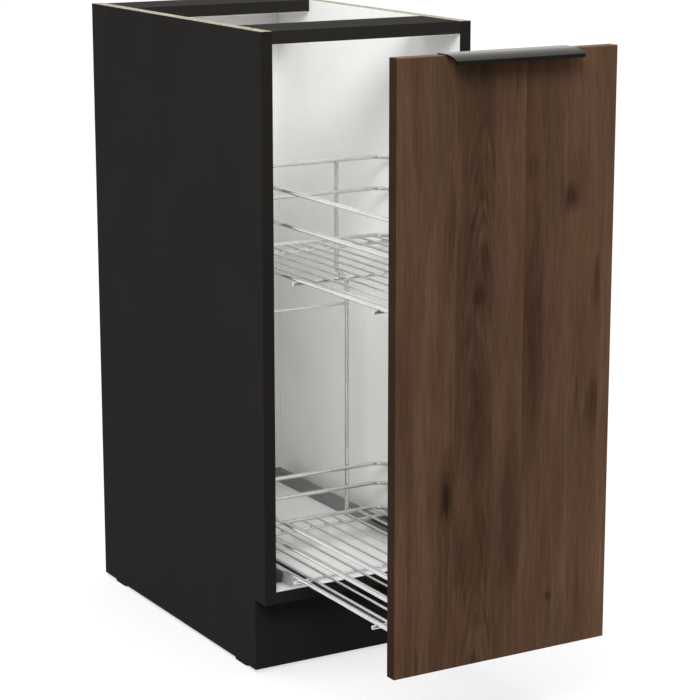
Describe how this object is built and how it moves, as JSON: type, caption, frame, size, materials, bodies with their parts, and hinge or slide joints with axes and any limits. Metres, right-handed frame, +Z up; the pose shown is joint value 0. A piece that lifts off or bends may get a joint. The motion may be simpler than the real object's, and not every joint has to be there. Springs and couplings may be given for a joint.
{
  "type": "pull-out base cabinet",
  "caption": "Narrow kitchen base cabinet whose wood-grain front with edge handle pulls out on rollers and carries a lower and an upper chrome wire basket.",
  "frame": {"origin": "floor level, under the middle of the footprint with the pull-out drawn as in the picture", "axes": "+X to the right seen from the front, -Y the way the pull-out is drawn, +Z up"},
  "size_m": [0.3, 0.819, 0.82],
  "materials": {
    "outer_board": "anthracite melamine on the outside, white on the inside",
    "inner_board": "white melamine",
    "front_wood": "dark oak grain, matt",
    "dowel_wood": "raw beech",
    "handle_metal": "dark anodised, fine brushed",
    "chrome_wire": "bright chrome plating",
    "runner_metal": "dark grey powder coat",
    "carriage_steel": "zinc plated",
    "screw_steel": "zinc plated",
    "housing_plastic": "light grey moulded",
    "roller_plastic": "natural nylon",
    "cap_plastic": "dark moulded",
    "glide_plastic": "black moulded",
    "bumper_rubber": "clear soft dots"
  },
  "bodies": {
    "carcass": {"left_side_panel": "outer_board", "right_side_panel": "outer_board", "bottom_panel": "inner_board", "front_top_rail": "outer_board", "rear_top_rail": "outer_board", "back_panel": "inner_board", "plinth_board": "outer_board", "plinth_dowels": "dowel_wood", "carcass_screws": "screw_steel", "screw_caps": "cap_plastic", "floor_glides": "glide_plastic", "left_runner_rail": "runner_metal", "right_runner_rail": "runner_metal", "runner_screws": "screw_steel", "runner_end_caps": "cap_plastic", "left_roller_housing": "housing_plastic", "right_roller_housing": "housing_plastic", "housing_screws": "screw_steel", "front_roller_pins": "screw_steel"},
    "pull_out": {"front_panel": "front_wood", "edge_handle": "handle_metal", "handle_screws": "screw_steel", "front_bumpers": "bumper_rubber", "left_front_strip": "chrome_wire", "right_front_strip": "chrome_wire", "front_strip_screws": "screw_steel", "lower_basket_bottom_rim": "chrome_wire", "lower_basket_middle_rim": "chrome_wire", "lower_basket_top_rim": "chrome_wire", "upper_basket_bottom_rim": "chrome_wire", "upper_basket_middle_rim": "chrome_wire", "upper_basket_top_rim": "chrome_wire", "lower_basket_floor_wires": "chrome_wire", "lower_basket_cross_wires": "chrome_wire", "upper_basket_floor_wires": "chrome_wire", "upper_basket_cross_wires": "chrome_wire", "left_runner_bar": "chrome_wire", "right_runner_bar": "chrome_wire", "left_rear_leg": "chrome_wire", "right_rear_leg": "chrome_wire", "rear_tie_bar": "chrome_wire", "left_rear_carriage": "carriage_steel", "right_rear_carriage": "carriage_steel", "rear_roller_pins": "screw_steel"},
    "left_front_roller": {"left_front_roller": "roller_plastic"},
    "left_rear_roller": {"left_rear_roller": "roller_plastic"},
    "right_front_roller": {"right_front_roller": "roller_plastic"},
    "right_rear_roller": {"right_rear_roller": "roller_plastic"}
  },
  "joints": [
    {"name": "pull_out_slide", "type": "slide", "parent": "carcass", "child": "pull_out", "axis": [0, -1, 0], "range_m": [-0.291, 0.029]},
    {"name": "left_front_roller_spin", "type": "hinge", "parent": "carcass", "child": "left_front_roller", "pos_m": [-0.1, -0.0465, 0.1237], "axis": [1, 0, 0], "continuous": true},
    {"name": "left_rear_roller_spin", "type": "hinge", "parent": "pull_out", "child": "left_rear_roller", "pos_m": [-0.1146, 0.0695, 0.1225], "axis": [1, 0, 0], "continuous": true},
    {"name": "right_front_roller_spin", "type": "hinge", "parent": "carcass", "child": "right_front_roller", "pos_m": [0.1, -0.0465, 0.1237], "axis": [1, 0, 0], "continuous": true},
    {"name": "right_rear_roller_spin", "type": "hinge", "parent": "pull_out", "child": "right_rear_roller", "pos_m": [0.1146, 0.0695, 0.1225], "axis": [1, 0, 0], "continuous": true}
  ],
  "couplings": [
    {"joint": "left_front_roller_spin", "follows": "pull_out_slide", "rad_per_m": 166.67},
    {"joint": "left_rear_roller_spin", "follows": "pull_out_slide", "rad_per_m": -142.86},
    {"joint": "right_front_roller_spin", "follows": "pull_out_slide", "rad_per_m": 166.67},
    {"joint": "right_rear_roller_spin", "follows": "pull_out_slide", "rad_per_m": -142.86}
  ]
}
